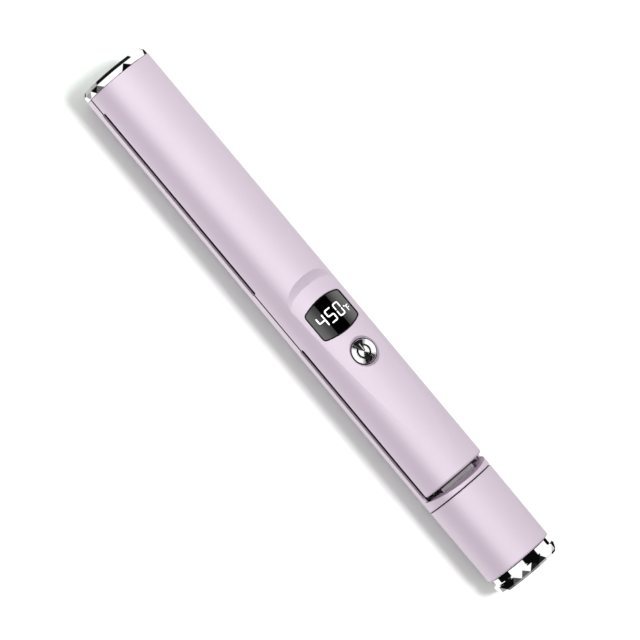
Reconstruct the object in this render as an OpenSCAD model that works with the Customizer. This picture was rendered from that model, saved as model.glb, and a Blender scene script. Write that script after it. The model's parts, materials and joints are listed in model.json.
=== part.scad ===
// Hair straightener with a round body, closed. X runs from the tips to the tail and Z is up.
// The origin lies under the middle of the body, on the surface that the lower arm rests on.

/* [Body] */
// Outside diameter of the lower arm and of the collar
body_d = 35.6; // [34:0.2:40]
// How much the sleeve's radius shrinks towards its rear end
sleeve_taper = 0.2; // [0:0.05:0.6]
// Height of the upper arm's arc above the lower arm's arc
upper_lift = 1.7; // [1:0.1:2.4]
// Height of the parting plane above the axis of the barrel
split_z = 2.7; // [2.2:0.1:3.4]
// Wall of the shells
wall = 1.8; // [1.6:0.1:2.2]
// Width of the shell's rim that shows beside the inner covers
rim_lip = 0.9; // [0.7:0.1:1.2]
// How far the rims are cut back from the parting plane along the gaps
rim_cut = 1.9; // [1.2:0.1:2.2]
// Gap between the meeting faces of the two arms
land_gap = 0.5; // [0.1:0.05:0.6]
// Height of the shadow line along the top edge of the lower arm
reveal_h = 0.4; // [0.2:0.1:0.6]
// Depth of that shadow line
reveal_in = 0.5; // [0.2:0.1:0.8]
// Rounding of the corners of the gaps
gap_corner_r = 0.8; // [0.4:0.1:1.2]
// Rounding of the upper arm's tail edge
arm_edge_r = 1; // [0.5:0.1:1.6]

/* [Lengths from the tips to the tail] */
// Faceted cap on each tip
cap_l = 4.6; // [3.6:0.1:8]
// Meeting faces behind the caps
tip_land_l = 8.7; // [6:0.1:14]
// Gap along the heating plates
plate_gap_l = 107.9; // [90:0.1:130]
// Meeting faces behind the plates
mid_land_l = 33.4; // [33:0.1:44]
// Gap along the handle, up to the end of the upper arm
handle_gap_l = 88.6; // [80:0.1:110]
// Gap between the upper arm and the collar at the parting plane
collar_gap = 2; // [1.4:0.05:2.6]
// Collar, measured at the parting plane
collar_l = 4.7; // [4.2:0.05:6]
// Seam between the collar and the sleeve
seam_gap = 0.5; // [0.2:0.1:0.6]
// Sleeve
sleeve_l = 41.7; // [41:0.1:56]
// Bare neck of the lock ring
neck_l = 3.3; // [2:0.1:6]
// Grip of the lock ring
grip_l = 4.6; // [4:0.1:8]

/* [Collar and hinge] */
// Lean of the collar's front face
collar_lean = 10.8; // [8:0.1:13]
// Wall of the collar over the mouth that the tongue enters
collar_wall = 4; // [3.4:0.1:4.2]
// Depth of that mouth behind the front of the collar
mouth_l = 3.1; // [2.6:0.1:3.2]
// Distance of the hinge pin behind the seam
pin_set = 4.1; // [3.8:0.1:5]
// Height of the hinge pin above the axis of the barrel
pin_z = 1.8; // [1.2:0.1:2.4]
// Diameter of the hinge pin
pin_d = 3; // [2:0.1:4]
// How far the ends of the hinge pin lie inside the spigot's surface
pin_inset = 1.15; // [0.8:0.05:2]
// Width of the hinge tongue
tongue_w = 20; // [16:0.5:21]
// Radius of the tongue's knuckles
knuckle_r = 4.5; // [3.8:0.1:4.8]
// Free room on each side of the tongue in the collar
tongue_room = 0.6; // [0.4:0.1:1.5]
// Free room on each side of the tongue between the cheeks
cheek_gap = 0.4; // [0.2:0.1:0.8]
// Wall of the sleeve over the spigot
sleeve_wall = 1.6; // [1.4:0.05:1.8]
// Wall of the spigot
spigot_wall = 1.75; // [1.4:0.05:2]
// Thickness of the tail lip and of the lock bolt
lip_t = 1.2; // [0.8:0.1:1.3]
// Reach of the tail lip behind the pin
lip_reach = 15.5; // [15:0.1:17]
// Radial clearance of a turning fit
run_gap = 0.05; // [0.02:0.01:0.1]
// Radial gap around the neck of the lock ring
neck_gap = 0.12; // [0.08:0.02:0.2]

/* [Lock] */
// Travel of the lock bolt
bolt_travel = 4.8; // [4:0.1:5]
// Turn of the lock ring in degrees
lock_turn = 60; // [40:1:80]
// Width of the lock bolt
bolt_w = 12; // [8:0.5:14]
// Diameter of the bolt's peg
peg_d = 2.4; // [1.6:0.1:3]
// Step from the spigot's surface down to the lock ring's neck
neck_step = 0.55; // [0.35:0.05:0.8]
// Wall of the lock ring around its bearing
ring_wall = 2.1; // [1.8:0.1:2.6]
// Step from the body's surface down to the points of the grip
grip_step = 0.3; // [0:0.05:1.2]
// Facets around each chrome end
facets = 20; // [12:1:28]
// Turn of the facets of the tip caps in degrees
tip_phase = 2.5; // [0:0.5:18]
// Turn of the facets of the lock ring in degrees
tail_phase = 11.3; // [0:0.1:18]

/* [Cord outlet] */
// Diameter of the bore for the cord
cord_bore_d = 6.4; // [4:0.1:8]
// Wall of the bearing around the turning gland
bearing_wall = 5.25; // [5:0.05:6.5]
// Depth of the gland's face inside the lock ring
gland_set = 1; // [0.5:0.1:2]

/* [Thumb scoop, display and button] */
// Distance of the scoop's front edge behind the plates
scoop_set = 7.5; // [4:0.1:10]
// Depth of the scoop
scoop_depth = 1.4; // [0.8:0.1:1.5]
// Length over which the scoop runs out
scoop_l = 106; // [90:1:130]
// Radius of the scoop's floor across the body
scoop_r = 21; // [20:0.1:23]
// Radius of the scoop's front slope across the body
lead_r = 24; // [23.2:0.1:26]
// Radius of the scoop's front slope along the body
lead_curve_r = 36; // [34:0.5:50]
// Angle of the scoop's front slope at its edge
lead_angle = 20; // [16:0.5:24]
// Distance of the display's centre behind the scoop's edge
display_set = 22.2; // [20:0.1:26]
// Length of the display window along the body, at its middle
display_l = 19.1; // [16:0.1:22]
// Width of the display window across the body
display_w = 22; // [18:0.1:22.4]
// Radius of the window's bowed sides
display_bow_r = 28.6; // [24:0.1:60]
// Radius of the window across the body
lens_r = 18.4; // [17:0.1:21]
// Corner radius of the window
display_corner_r = 2; // [1:0.1:3]
// Thickness of the window
lens_t = 1.4; // [1:0.1:1.6]
// Gap around the window
lens_gap = 0.22; // [0.1:0.02:0.4]
// Distance of the button's centre behind the display's centre
button_set = 22.1; // [20:0.1:26]
// Diameter of the button's face
button_d = 12.2; // [10:0.1:13]
// Diameter of the recess at the surface
recess_d = 15.3; // [14.4:0.1:17]
// Depth of the button's face below the surface
button_sink = 1.5; // [1:0.1:1.8]
// Travel of the button
button_travel = 0.6; // [0.3:0.1:0.8]
// Gap around the button
button_gap = 0.25; // [0.15:0.05:0.4]

/* [Heating plates] */
// Distance of each plate's edges from the sides of the body
plate_side = 5.1; // [5:0.1:7]
// Thickness of each plate
plate_t = 2; // [1.6:0.1:2.2]
// Gap between the two plates
plate_face_gap = 0.1; // [0.06:0.02:0.2]
// How far a plate can float into its arm
float_travel = 0.6; // [0.3:0.1:0.8]
// Gap around each plate
plate_gap = 0.4; // [0.3:0.05:0.6]
// Thickness of the heater behind each plate
heater_t = 2.6; // [2:0.1:3]
// Distance of the heater's sides from the plate's edges
heater_side = 4.7; // [4.6:0.1:6]
// Length of the heater
heater_l = 80; // [60:1:84]
// Height of the rails behind each plate
rail_h = 4; // [3:0.1:4.6]

/* [Inner covers] */
// Depth of the covers below the rims
cover_set = 0.2; // [0.1:0.1:0.6]
// Thickness of the covers
cover_t = 1.5; // [1.2:0.1:1.8]
// Gap around the covers
cover_gap = 0.06; // [0.04:0.02:0.2]
// Thickness of the control board
board_t = 1.6; // [1:0.1:2]
// Distance of the control board's edges from the sides of the body
board_side = 5.8; // [5.4:0.1:8]
// Height of the switch under the button
switch_h = 1.6; // [1.4:0.1:1.8]

/* [Hidden] */
$fn = 96;

pink = "#e0cfe1";
dark = "#232326";
grey = "#8d8791";
chrome = "#d9dbde";
steel = "#b9bdc2";

// Stations along the body
total_l = cap_l + tip_land_l + plate_gap_l + mid_land_l + handle_gap_l + collar_gap + collar_l
    + seam_gap + sleeve_l + neck_l + grip_l;
x_tip = -total_l / 2;
x_cap = x_tip + cap_l;
x_plate0 = x_cap + tip_land_l;
x_plate1 = x_plate0 + plate_gap_l;
x_mid = x_plate1 + mid_land_l;
x_arm = x_mid + handle_gap_l;
x_collar = x_arm + collar_gap;
x_seam = x_collar + collar_l;
x_sleeve0 = x_seam + seam_gap;
x_sleeve1 = x_sleeve0 + sleeve_l;
x_grip = x_sleeve1 + neck_l;
x_tail = x_grip + grip_l;
x_mouth = x_collar + mouth_l;
x_pin = x_seam + pin_set;

// Radii and heights, with z = 0 on the axis of the barrel
body_r = body_d / 2;
inner_r = body_r - wall;
ledge_r = body_r - rim_lip;
top_z = upper_lift + body_r;
roof_z = top_z - scoop_depth - wall;
sleeve_bore_r = body_r - sleeve_wall;
spigot_r = sleeve_bore_r - run_gap;
hollow_r = spigot_r - spigot_wall;
neck_r = spigot_r - neck_step;
journal_r = neck_r - ring_wall;
gland_r = journal_r - bearing_wall - run_gap;
plate_w = body_d - 2 * plate_side;
heater_w = plate_w - 2 * heater_side;
board_w = body_d - 2 * board_side;
far = 60;
cut = 0.5;
slice = 0.04;

// Arc centres of the arms, measured from the parting plane into each arm
upper_c = upper_lift - split_z;
lower_c = split_z;

// Depths inside an arm, measured from the parting plane into the arm
cover_h = rim_cut + cover_set;
ledge_h = cover_h + cover_t;
plate_h = plate_face_gap / 2;
plate_back_h = plate_h + plate_t;
bond_t = 0.1;
heater_h = plate_back_h + bond_t;
heater_back_h = heater_h + heater_t;
rail_t = 1.3;
rail_gap = 0.3;
rail_back_h = plate_back_h + rail_h;
rail_room = 0.9;
channel_h = rail_back_h + float_travel + rail_room;
channel_w = heater_w + 2 * (rail_gap + rail_t + rail_room);
tray_floor_t = 1.2;
tray_end = 1.4;
tray_wall = 1.2;
step_h = 3.2;
tray_clear = 0.2;

// Screws, their pilot holes and the posts that take them
screw_r = 1.02;
screw_gap = 0.3;
head_r = 2.1;
head_t = 1.1;
head_gap = 0.2;
slot_l = 2.6;
slot_w = 0.6;
pilot_r = 1.1;
pilot_room = 1.4;
post_r = 2.6;
cover_screw_l = 5;
tongue_screw_l = 6;
board_screw_l = 4.6;
housing_screw_l = 9;

// Draws a (y, z) outline along X
module prism_x(x0, x1) {
    translate([x0, 0, 0])
    rotate([90, 0, 90])
    linear_extrude(x1 - x0)
    children();
}

// Draws an (x, z) outline along Y, centred on y = 0
module prism_y(w) {
    rotate([90, 0, 0])
    linear_extrude(w, center = true)
    children();
}

// Draws an (x, y) outline along Z
module prism_z(z0, z1) {
    translate([0, 0, z0])
    linear_extrude(z1 - z0)
    children();
}

module rod_x(x0, x1, r) {
    translate([x0, 0, 0])
    rotate([0, 90, 0])
    cylinder(h = x1 - x0, r = r);
}

module rod_y(w, r) {
    rotate([90, 0, 0])
    cylinder(h = w, r = r, center = true);
}

module rod_z(z0, z1, r) {
    translate([0, 0, z0])
    cylinder(h = z1 - z0, r = r);
}

// Turns a (radius, x) outline about the X axis
module turned() {
    rotate([0, 90, 0])
    rotate_extrude()
    children();
}

// Box from x0 to x1 and from z0 to z1, w wide and centred on y = 0
module slab(x0, x1, z0, z1, w) {
    translate([x0, -w / 2, z0])
    cube([x1 - x0, w, z1 - z0]);
}

// Moves children drawn from the parting plane into an arm
module in_upper() {
    translate([0, 0, split_z])
    children();
}

module in_lower() {
    translate([0, 0, split_z])
    mirror([0, 0, 1])
    children();
}

// Stands the whole model on its lowest point
module stood() {
    translate([0, 0, body_r])
    children();
}

// Points of a rounded outer corner at (r, x), turning from along X to inwards
function end_round(r, x, e) = [for (a = [0:15:90]) [r - e + e * cos(a), x - e + e * sin(a)]];
function front_round(r, x, e) = [for (a = [-90:15:0]) [r - e + e * cos(a), x + e + e * sin(a)]];

// Outline of a gap between the arms, in (x, depth into the arm)
module gap_2d(x0, x1) {
    f = gap_corner_r;
    translate([x0 + f, -far])
    square([x1 - x0 - 2 * f, far + rim_cut]);
    translate([x0, -far])
    square([x1 - x0, far + rim_cut - f]);
    for (x = [x0 + f, x1 - f])
        translate([x, rim_cut - f])
        circle(f);
}

// Section of an inner cover or tray flange, in (y, depth into the arm)
module flange_2d(c) {
    intersection() {
        translate([0, c])
        circle(ledge_r - cover_gap);
        translate([-far, cover_h])
        square([2 * far, cover_t]);
    }
}

// Ends of the inner covers, and the places of their screws along and across the arm
upper_cover_short = 17.4;
lower_cover_short = 3;
upper_cover_end = x_arm - upper_cover_short;
lower_cover_end = x_arm - lower_cover_short;
cover_screw_in = 4.2;
cover_screw_back = 7.2;
cover_screw_x = [x_plate1 + cover_screw_in, upper_cover_end - cover_screw_back];
cover_screw_y = 8;

module at_cover_screws() {
    for (x = cover_screw_x, y = [-cover_screw_y, cover_screw_y])
        translate([x, y, 0])
        children();
}

// Pan head screw pointing up, with its head's underside at z = 0
module screw(l) {
    difference() {
        rod_z(-head_t, 0, head_r);
        for (a = [0, 90])
            rotate([0, 0, a])
            slab(-slot_l / 2, slot_l / 2, -head_t - cut, -head_t / 2, slot_w);
    }
    rod_z(-head_t / 4, l, screw_r);
}

// Hollow of a shell for covers and trays, in depth coordinates
module arm_hollow(c, x1) {
    translate([0, 0, c])
    rod_x(x_cap - cut, x1, inner_r);
    intersection() {
        translate([0, 0, c])
        rod_x(x_plate0, x1, ledge_r);
        slab(x_plate0, x1, -far, ledge_h, 2 * far);
    }
}

// Posts for the cover screws, from the cover to the shell
module cover_posts(c) {
    intersection() {
        at_cover_screws()
        rod_z(ledge_h, far, post_r);
        translate([0, 0, c])
        rod_x(x_cap, x_arm, body_r - wall / 2);
    }
}

// Rod of radius r that lies along the scoop, its top set below the scoop's floor line
module scoop_rod(set, r) {
    translate([x_scoop, 0, top_z - scoop_depth - set - r])
    rotate([0, 90 - atan(scoop_depth / scoop_l), 0])
    translate([0, 0, -far])
    cylinder(h = 4 * far, r = r);
}

// Hollow front slope of the scoop, as a stretch of a ring
module scoop_lead() {
    run_on = 12;
    translate([
        x_scoop + lead_curve_r * sin(lead_angle),
        0,
        top_z + lead_curve_r * cos(lead_angle)
    ])
    rotate([90, 0, 0])
    rotate([0, 0, 270 - lead_angle - run_on])
    rotate_extrude(angle = run_on + lead_angle)
    translate([lead_curve_r + lead_r, 0])
    circle(lead_r);
}

module scoop_cut() {
    difference() {
        slab(x_scoop - 3, x_scoop + scoop_l + 2, top_z / 2, top_z + 4, body_d);
        scoop_rod(0, scoop_r);
        scoop_lead();
    }
}

// Display window and button, placed from the scoop's edge
x_scoop = x_plate1 + scoop_set;
x_display = x_scoop + display_set;
x_button = x_display + button_set;
lens_sink = 0.05;
seat_w = 1.2;
frame_w = 2.4;
frame_h = 1;
function scoop_z(x) = top_z - scoop_depth * (1 - (x - x_scoop) / scoop_l);
function lens_under_z(x, y) = scoop_z(x) - lens_sink - lens_r + sqrt(pow(lens_r - lens_t, 2) - y * y);
button_z = scoop_z(x_button) - button_sink;
button_r = button_d / 2;
recess_floor_r = button_r + 0.6;
boss_h = 2.5;
boss_z = button_z - boss_h;
boss_wall = 1.6;
flange_t = 0.8;
flange_gap = 0.1;
flange_r = button_r + 1.1;

// Switch under the button, and the board that carries it
stem_l = 0.3;
plunger_h = 0.4;
press_gap = 0.1;
stem_z = boss_z - flange_gap - flange_t - stem_l;
switch_top_z = stem_z - button_travel - press_gap - plunger_h;
board_top_z = switch_top_z - switch_h;
board_z = board_top_z - board_t;

// Points of an arc of radius r about (x, y), from angle a0 to angle a1 in n steps
function arc(x, y, r, a0, a1, n) = [
    for (i = [0:n]) let (a = a0 + (a1 - a0) * i / n) [x + r * cos(a), y + r * sin(a)]
];

// Outline of the display window, in (x, y), grown by g
module window_2d(g) {
    bow = display_bow_r + g;
    hx = display_l / 2 + g;
    hy = display_w / 2 + g;
    rc = display_corner_r + g;
    cy = hy - rc;
    cx = sqrt(pow(bow - rc, 2) - cy * cy) - (bow - hx);
    lean = asin(cy / (bow - rc));
    polygon(concat(
        arc(hx - bow, 0, bow, -lean, lean, 8),
        arc(cx, cy, rc, lean, 90, 5),
        arc(-cx, cy, rc, 90, 180 - lean, 5),
        arc(bow - hx, 0, bow, 180 - lean, 180 + lean, 8),
        arc(-cx, -cy, rc, 180 + lean, 270, 5),
        arc(cx, -cy, rc, 270, 360 - lean, 5)
    ));
}

module upper_outside() {
    l = x_arm - x_cap;
    translate([x_cap, 0, upper_lift])
    turned()
    polygon(concat([[0, 0], [body_r, 0]], end_round(body_r, l, arm_edge_r), [[0, l]]));
}

module upper_shell() {
    color(pink)
    difference() {
        upper_outside();
        difference() {
            in_upper()
            difference() {
                arm_hollow(upper_c, x_arm - wall);
                cover_posts(upper_c);
            }
            slab(x_plate1 + 1, x_arm, roof_z, top_z + 1, body_d);
            translate([x_display, 0, 0])
            slab(
                -display_l / 2 - frame_w, display_l / 2 + frame_w,
                lens_under_z(x_display - display_l / 2, display_w / 2) - frame_h, top_z + 1,
                display_w + 2 * frame_w
            );
            translate([x_button, 0, 0])
            rod_z(boss_z, top_z, recess_d / 2 + boss_wall);
            tongue_posts();
            board_posts();
        }
        in_upper()
        prism_y(2 * far)
        union() {
            translate([x_cap - far, -far])
            square([3 * far + total_l, far + land_gap / 2]);
            gap_2d(x_plate0, x_plate1);
            gap_2d(x_mid, x_arm + 2);
        }
        in_upper()
        at_cover_screws()
        rod_z(0, cover_h + head_t + cover_screw_l + pilot_room, pilot_r);
        at_tongue_screws()
        rod_z(0, tongue_root_z + head_t + tongue_screw_l + pilot_room, pilot_r);
        at_board_screws()
        rod_z(0, board_z + board_screw_l + pilot_room / 2, pilot_r);
        scoop_cut();
        translate([x_display, 0, 0])
        prism_z(board_top_z, top_z + 2)
        window_2d(-seat_w);
        difference() {
            translate([x_display, 0, 0])
            prism_z(board_top_z, top_z + 2)
            window_2d(lens_gap);
            scoop_rod(lens_sink + lens_t, lens_r - lens_t);
        }
        translate([x_button, 0, 0]) {
            rod_z(boss_z - 1, top_z + 1, button_r + button_gap);
            translate([0, 0, button_z])
            cylinder(h = 2 * button_sink, r1 = recess_floor_r, r2 = recess_d - recess_floor_r);
        }
    }
}

// Faceted chrome band between two rings of points, the second turned by half a facet
function ring_points(r, phase) = [
    for (i = [0:facets - 1]) let (a = phase + i * 360 / facets) [-r * sin(a), r * cos(a)]
];
module facet_band(x0, r0, x1, r1, phase) {
    hull() {
        prism_x(x0, x0 + slice)
        polygon(ring_points(r0, phase));
        prism_x(x1 - slice, x1)
        polygon(ring_points(r1, phase + 180 / facets));
    }
}

// Chrome end of an arm, in barrel coordinates with its arc centre at z = 0
cap_end_l = 1.6;
cap_edge_l = 0.3;
cap_band_drop = 0.4;
cap_edge_drop = 0.12;
cap_end_drop = 1.7;
cap_plug_l = 3;
cap_plug_gap = 0.1;
module cap_body() {
    x1 = x_tip + cap_end_l;
    x2 = x_cap - cap_edge_l;
    r2 = body_r - cap_edge_drop;
    facet_band(x1, body_r - cap_band_drop, x2, r2 - slice, tip_phase);
    turned()
    polygon([[0, x2], [r2, x2], [body_r, x_cap], [0, x_cap]]);
    hull() {
        prism_x(x1, x1 + slice)
        polygon(ring_points(body_r - cap_band_drop, tip_phase));
        prism_x(x_tip, x_tip + slice)
        polygon(ring_points(body_r - cap_end_drop, tip_phase));
    }
    rod_x(x_cap - 1, x_cap + cap_plug_l, inner_r - cap_plug_gap);
}

module upper_tip_cap() {
    color(chrome)
    difference() {
        translate([0, 0, upper_lift])
        cap_body();
        slab(x_tip - 1, x_cap + far, -far, split_z + land_gap / 2, 2 * far);
    }
}

module lower_tip_cap() {
    color(chrome)
    difference() {
        cap_body();
        slab(x_tip - 1, x_cap + far, split_z - land_gap / 2, far, 2 * far);
    }
}

// Tray that holds a heating plate, in depth coordinates
module plate_tray(c) {
    x0 = x_plate0 + tray_clear;
    x1 = x_plate1 - tray_clear;
    pocket_w = plate_w + 2 * plate_gap;
    difference() {
        union() {
            prism_x(x0, x1)
            flange_2d(c);
            slab(x0, x1, cover_h, cover_h + step_h, pocket_w + 2 * tray_wall);
            slab(x0, x1, cover_h, channel_h + tray_floor_t, channel_w + 2 * tray_wall);
        }
        slab(x0 + tray_end, x1 - tray_end, -1, cover_h + step_h - tray_floor_t, pocket_w);
        slab(x0 + tray_end, x1 - tray_end, -1, channel_h, channel_w);
    }
}

// Heating plate with rounded edges and two rails, in depth coordinates
plate_x0 = x_plate0 + tray_clear + tray_end + plate_gap;
plate_x1 = x_plate1 - tray_clear - tray_end - plate_gap;
plate_edge_r = 0.8;
module heating_plate() {
    e = plate_edge_r;
    rail_y = heater_w / 2 + rail_gap + rail_t / 2;
    prism_x(plate_x0, plate_x1)
    union() {
        translate([-plate_w / 2, plate_h + e])
        square([plate_w, plate_t - e]);
        translate([-plate_w / 2 + e, plate_h])
        square([plate_w - 2 * e, plate_t]);
        for (y = [-plate_w / 2 + e, plate_w / 2 - e])
            translate([y, plate_h + e])
            circle(e);
        for (y = [-rail_y, rail_y])
            translate([y - rail_t / 2, plate_back_h - e])
            square([rail_t, rail_h + e]);
    }
}

// Heater with its thermal fuse, and the cushions behind it, in depth coordinates
plate_mid = (plate_x0 + plate_x1) / 2;
fuse_l = 8;
fuse_t = 1.2;
module heater_bar() {
    slab(plate_mid - heater_l / 2, plate_mid + heater_l / 2, heater_h, heater_back_h, heater_w);
    slab(plate_mid - fuse_l / 2, plate_mid + fuse_l / 2, heater_h, heater_back_h + fuse_t, fuse_l);
}

cushion_r = 2.2;
cushion_gap = 0.02;
module cushions() {
    for (x = [-3, -1, 1, 3])
        translate([plate_mid + x * heater_l / 9, 0, 0])
        rod_z(heater_back_h + cushion_gap, channel_h - cushion_gap, cushion_r);
}

// Inner cover with screw holes, in depth coordinates
module inner_cover(c, x1) {
    difference() {
        prism_x(x_plate1 + tray_clear, x1)
        flange_2d(c);
        at_cover_screws() {
            rod_z(0, far, screw_r + screw_gap);
            rod_z(0, cover_h + head_t, head_r + head_gap);
        }
    }
}

module upper_plate_tray() {
    color(dark)
    in_upper()
    plate_tray(upper_c);
}

module lower_plate_tray() {
    color(dark)
    in_lower()
    plate_tray(lower_c);
}

module upper_plate() {
    color(steel)
    in_upper()
    heating_plate();
}

module lower_plate() {
    color(steel)
    in_lower()
    heating_plate();
}

module upper_heater() {
    color("white")
    in_upper()
    heater_bar();
}

module lower_heater() {
    color("white")
    in_lower()
    heater_bar();
}

module upper_plate_cushions() {
    color("orange")
    in_upper()
    cushions();
}

module lower_plate_cushions() {
    color("orange")
    in_lower()
    cushions();
}

module upper_inner_cover() {
    color(dark)
    in_upper()
    inner_cover(upper_c, upper_cover_end);
}

module lower_inner_cover() {
    color(dark)
    in_lower()
    inner_cover(lower_c, lower_cover_end);
}

module upper_cover_screws() {
    color(steel)
    in_upper()
    at_cover_screws()
    translate([0, 0, cover_h + head_t])
    screw(cover_screw_l);
}

module lower_cover_screws() {
    color(steel)
    in_lower()
    at_cover_screws()
    translate([0, 0, cover_h + head_t])
    screw(cover_screw_l);
}

// Hinge tongue of the upper arm, in barrel coordinates. Its root is screwed into the arm, and its
// neck passes between the arms into the collar
tongue_x0 = upper_cover_end + tray_clear;
tongue_x1 = x_arm - wall - tray_clear;
tongue_step = 0.9;
tongue_neck_x = tongue_x0 + 4;
tongue_neck_z = split_z + rim_cut - 0.3;
tongue_low_z = split_z - rim_cut + 0.6;
tongue_root_z = split_z + cover_h;
tongue_root_t = 4.4;
tongue_back_z = tongue_root_z + tongue_root_t;
tongue_top_z = pin_z + knuckle_r;
tongue_screw_x = x_arm - 9.2;
tongue_screw_y = 6;
spring_gap = 8.4;
spring_slot = 1.5;

module at_tongue_screws() {
    for (y = [-tongue_screw_y, tongue_screw_y])
        translate([tongue_screw_x, y, 0])
        children();
}

module tongue_posts() {
    intersection() {
        at_tongue_screws()
        rod_z(tongue_back_z, far, post_r);
        translate([0, 0, upper_lift])
        rod_x(x_mid, x_arm, body_r - wall / 2);
    }
}

module hinge_tongue() {
    x_step = x_arm + tongue_step;
    color(grey)
    difference() {
        union() {
            slab(tongue_x0, tongue_x1, tongue_root_z, tongue_back_z, tongue_w);
            slab(tongue_neck_x, x_step + 1, tongue_low_z, tongue_neck_z, tongue_w);
            slab(tongue_neck_x, tongue_x1, tongue_neck_z - 1, tongue_root_z + 1, tongue_w);
            slab(x_step, x_pin, pin_z - knuckle_r, tongue_top_z, tongue_w);
            translate([x_pin, 0, pin_z])
            rod_y(tongue_w, knuckle_r);
            slab(x_pin, x_pin + lip_reach, pin_z - lip_t / 2, pin_z + lip_t / 2, tongue_w);
        }
        translate([x_pin, 0, pin_z])
        rod_y(tongue_w + 2, pin_d / 2 + run_gap);
        slab(x_pin - knuckle_r - spring_slot, x_pin + lip_reach / 2, -far, far, spring_gap);
        translate([x_pin, -coil_end_y, pin_z - coil_r])
        rod_x(-front_leg - leg_room, -knuckle_r, leg_hole_r);
        at_tongue_screws() {
            rod_z(-far, far, screw_r + screw_gap);
            rod_z(-far, tongue_root_z + head_t, head_r + head_gap);
        }
    }
}

module tongue_screws() {
    color(steel)
    at_tongue_screws()
    translate([0, 0, tongue_root_z + head_t])
    screw(tongue_screw_l);
}

// Lower arm, collar and spigot in one piece. The tongue swings in a passage through the collar
// and between the cheeks that hold the pin
passage_top = 8.2;
passage_low = 11;
cheek_top = 7;
cheek_low = 10;
x_cheek1 = x_pin + 6;
x_spigot = x_pin + lip_reach + 4.5;
spigot_end_t = 2.5;
bolt_gap = 0.2;
hollow_reach = 0.3;
bolt_top_z = pin_z - lip_t / 2 - 0.25;
bolt_z = bolt_top_z - lip_t;
edge_round = 0.3;
pin_fit = 0.02;

module collar_outside() {
    l = x_seam - x_cap;
    translate([x_cap, 0, 0])
    turned()
    polygon(concat([[0, 0], [body_r, 0]], end_round(body_r, l, edge_round), [[0, l]]));
}

// Outline of everything cut from above, in (x, depth into the lower arm)
module lower_cut_2d() {
    rise = 30;
    polygon([
        [x_cap - far, land_gap / 2],
        [x_collar, land_gap / 2],
        [x_collar + rise * tan(collar_lean), land_gap / 2 - rise],
        [x_cap - far, land_gap / 2 - rise]
    ]);
    gap_2d(x_plate0, x_plate1);
    intersection() {
        gap_2d(x_mid, x_collar);
        translate([x_cap, 0])
        square([total_l, far]);
    }
}

// Step along the outer edge of the lower arm's meeting faces
module land_reveal(x0, x1) {
    difference() {
        slab(x0, x1, split_z - land_gap / 2 - reveal_h, split_z, 2 * far);
        rod_x(x0 - 1, x1 + 1, body_r - reveal_in);
    }
}

module lower_shell() {
    passage = tongue_w + 2 * tongue_room;
    color(pink)
    difference() {
        union() {
            collar_outside();
            rod_x(x_seam - 1, x_spigot + spigot_end_t, spigot_r);
        }
        in_lower()
        difference() {
            arm_hollow(lower_c, x_collar + hollow_reach);
            cover_posts(lower_c);
        }
        in_lower()
        prism_y(2 * far)
        lower_cut_2d();
        land_reveal(x_cap - 1, x_plate0 + gap_corner_r);
        land_reveal(x_plate1 - gap_corner_r, x_mid + gap_corner_r);
        intersection() {
            union() {
                slab(x_collar - 1, x_mouth, pin_z - passage_low, far, passage);
                slab(x_mouth - 1, x_seam, pin_z - passage_low, pin_z + passage_top, passage);
            }
            rod_x(x_collar - 2, x_seam + 1, body_r - collar_wall);
        }
        slab(x_seam - 1, x_cheek1, pin_z - cheek_low, pin_z + cheek_top, tongue_w + 2 * cheek_gap);
        rod_x(x_cheek1 - 0.01, x_spigot, hollow_r);
        slab(x_spigot - 1, x_spigot + 5, bolt_z - bolt_gap, bolt_top_z + bolt_gap,
            bolt_w + 2 * bolt_gap);
        translate([x_pin, 0, pin_z])
        rod_y(2 * far, pin_d / 2 + pin_fit);
        translate([x_pin - coil_r, coil_end_y, pin_z])
        rod_z(-floor_leg - leg_room, -cheek_low + 1, leg_hole_r);
        at_housing_posts()
        rod_x(x_spigot - 1, x_spigot + 5, screw_r + screw_gap);
        in_lower()
        at_cover_screws()
        rod_z(0, cover_h + head_t + cover_screw_l + pilot_room, pilot_r);
    }
}

module hinge_pin() {
    color(steel)
    translate([x_pin, 0, pin_z])
    rod_y(2 * (spigot_r - pin_inset), pin_d / 2);
}

// Torsion spring round the pin, with one leg in the tongue and one in the floor below it
wire_r = 0.45;
coil_r = 3.1;
coil_turns = 4.75;
coil_pitch = 1.3;
coil_end_y = coil_turns * coil_pitch / 2;
front_leg = 7.2;
floor_leg = 10.9;
leg_room = 0.2;
leg_hole_r = wire_r + leg_room;
function coil_point(t) = [
    coil_r * cos(t * 360 - 90),
    (t - coil_turns / 2) * coil_pitch,
    coil_r * sin(t * 360 - 90)
];
coil_path = concat(
    [[-front_leg, -coil_end_y, -coil_r]],
    [for (i = [0:coil_turns * 12]) coil_point(i / 12)],
    [[-coil_r, coil_end_y, -floor_leg]]
);
function unit(v) = v / norm(v);
function tangent(p, i) = unit(p[min(i + 1, len(p) - 1)] - p[max(i - 1, 0)]);
function wire_ring(p, i, r, n) = let (
    t = tangent(p, i),
    u = unit(cross(t, [0, 1, 0.001])),
    v = cross(t, u)
) [for (k = [0:n - 1]) p[i] + r * (cos(360 * k / n) * u + sin(360 * k / n) * v)];

module wire(p, r, n) {
    last = len(p) - 1;
    points = [for (i = [0:last]) each wire_ring(p, i, r, n)];
    sides = [
        for (i = [0:last - 1], k = [0:n - 1])
            let (a = i * n + k, b = i * n + (k + 1) % n)
            each [[a, b, b + n], [a, b + n, a + n]]
    ];
    caps = [
        [for (k = [n - 1:-1:0]) k],
        [for (k = [0:n - 1]) last * n + k]
    ];
    polyhedron(points, concat(sides, caps));
}

module opening_spring() {
    color(steel)
    translate([x_pin, 0, pin_z])
    wire(coil_path, wire_r, 8);
}

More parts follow.
